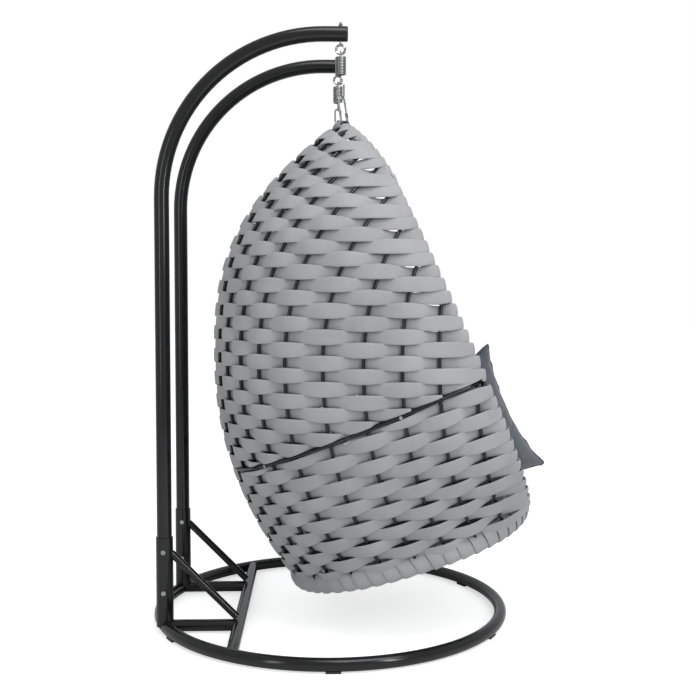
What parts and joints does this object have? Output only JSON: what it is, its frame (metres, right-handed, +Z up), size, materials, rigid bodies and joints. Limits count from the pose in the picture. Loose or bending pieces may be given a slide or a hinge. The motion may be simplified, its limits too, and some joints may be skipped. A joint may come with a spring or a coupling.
{
  "type": "hanging egg chair",
  "caption": "Hanging egg chair: a woven strap basket with cushions swings on springs from a tubular ring stand with curved arms.",
  "frame": {"origin": "on the floor, under the middle of the chair's overall width and depth", "axes": "+Z up; -Y is the way a seated person looks; X runs across the chair, with +X on the right of someone standing in front and facing the chair"},
  "size_m": [1.2078, 1.2642, 1.96],
  "materials": {
    "black_frame": "black powder coat, semi-gloss",
    "bright_steel": "bright zinc plate",
    "black_plastic": "moulded, satin",
    "wicker_strap": "light grey flat synthetic wicker, finely ribbed, matte",
    "cushion_fabric": "dark slate plain weave",
    "pillow_fabric": "slate grey plain weave"
  },
  "bodies": {
    "stand": {"base_ring": "black_frame", "cross_bar": "black_frame", "floor_glides": "black_plastic", "left_stub_tube": "black_frame", "right_stub_tube": "black_frame", "left_socket": "black_frame", "right_socket": "black_frame", "left_arm": "black_frame", "right_arm": "black_frame", "left_arm_cap": "black_plastic", "right_arm_cap": "black_plastic", "left_brace": "black_frame", "right_brace": "black_frame", "left_socket_bolts": "bright_steel", "right_socket_bolts": "bright_steel", "left_eye_bolt": "bright_steel", "right_eye_bolt": "bright_steel", "left_eye_nut": "bright_steel", "right_eye_nut": "bright_steel"},
    "hanger": {"left_spring": "bright_steel", "right_spring": "bright_steel"},
    "drop": {"left_chain_link": "bright_steel", "right_chain_link": "bright_steel", "left_snap_hook": "bright_steel", "right_snap_hook": "bright_steel"},
    "left_gate": {"left_snap_gate": "bright_steel"},
    "right_gate": {"right_snap_gate": "bright_steel"},
    "basket": {"back_cushion": "cushion_fabric", "bottom_ring": "black_frame", "floor_bars": "black_frame", "floor_weave": "wicker_strap", "hang_loops": "black_frame", "joint_bolts": "bright_steel", "left_pillow": "pillow_fabric", "lower_joint_tube": "black_frame", "lower_ribs": "black_frame", "lower_rims": "black_frame", "lower_weave": "wicker_strap", "right_pillow": "pillow_fabric", "seat_cushion": "cushion_fabric", "upper_joint_tube": "black_frame", "upper_ribs": "black_frame", "upper_rim": "black_frame", "upper_weave": "wicker_strap"}
  },
  "joints": [
    {"name": "hanger_swing", "type": "hinge", "parent": "stand", "child": "hanger", "pos_m": [0, -0.00145, 1.868], "axis": [-1, 0, 0], "range_deg": [-4, 12]},
    {"name": "spring_bounce", "type": "slide", "parent": "hanger", "child": "drop", "axis": [0, 0, -1], "range_m": [0, 0.03], "stiffness_N_per_m": 20000, "springref_m": -0.02, "deforming": ["left_spring", "right_spring"]},
    {"name": "basket_tilt", "type": "hinge", "parent": "drop", "child": "basket", "pos_m": [0, -0.01473, 1.63944], "axis": [-1, 0, 0], "range_deg": [-2.5, 8]},
    {"name": "left_gate_hinge", "type": "hinge", "parent": "drop", "child": "left_gate", "pos_m": [-0.20951, -0.02027, 1.67238], "axis": [0.7032, 0.7032, -0.1055], "range_deg": [-25, 0], "stiffness_Nm_per_rad": 0.01, "springref_deg": 20.05},
    {"name": "right_gate_hinge", "type": "hinge", "parent": "drop", "child": "right_gate", "pos_m": [0.20951, -0.02027, 1.67238], "axis": [0.7032, -0.7032, 0.1055], "range_deg": [-25, 0], "stiffness_Nm_per_rad": 0.01, "springref_deg": 20.05}
  ]
}
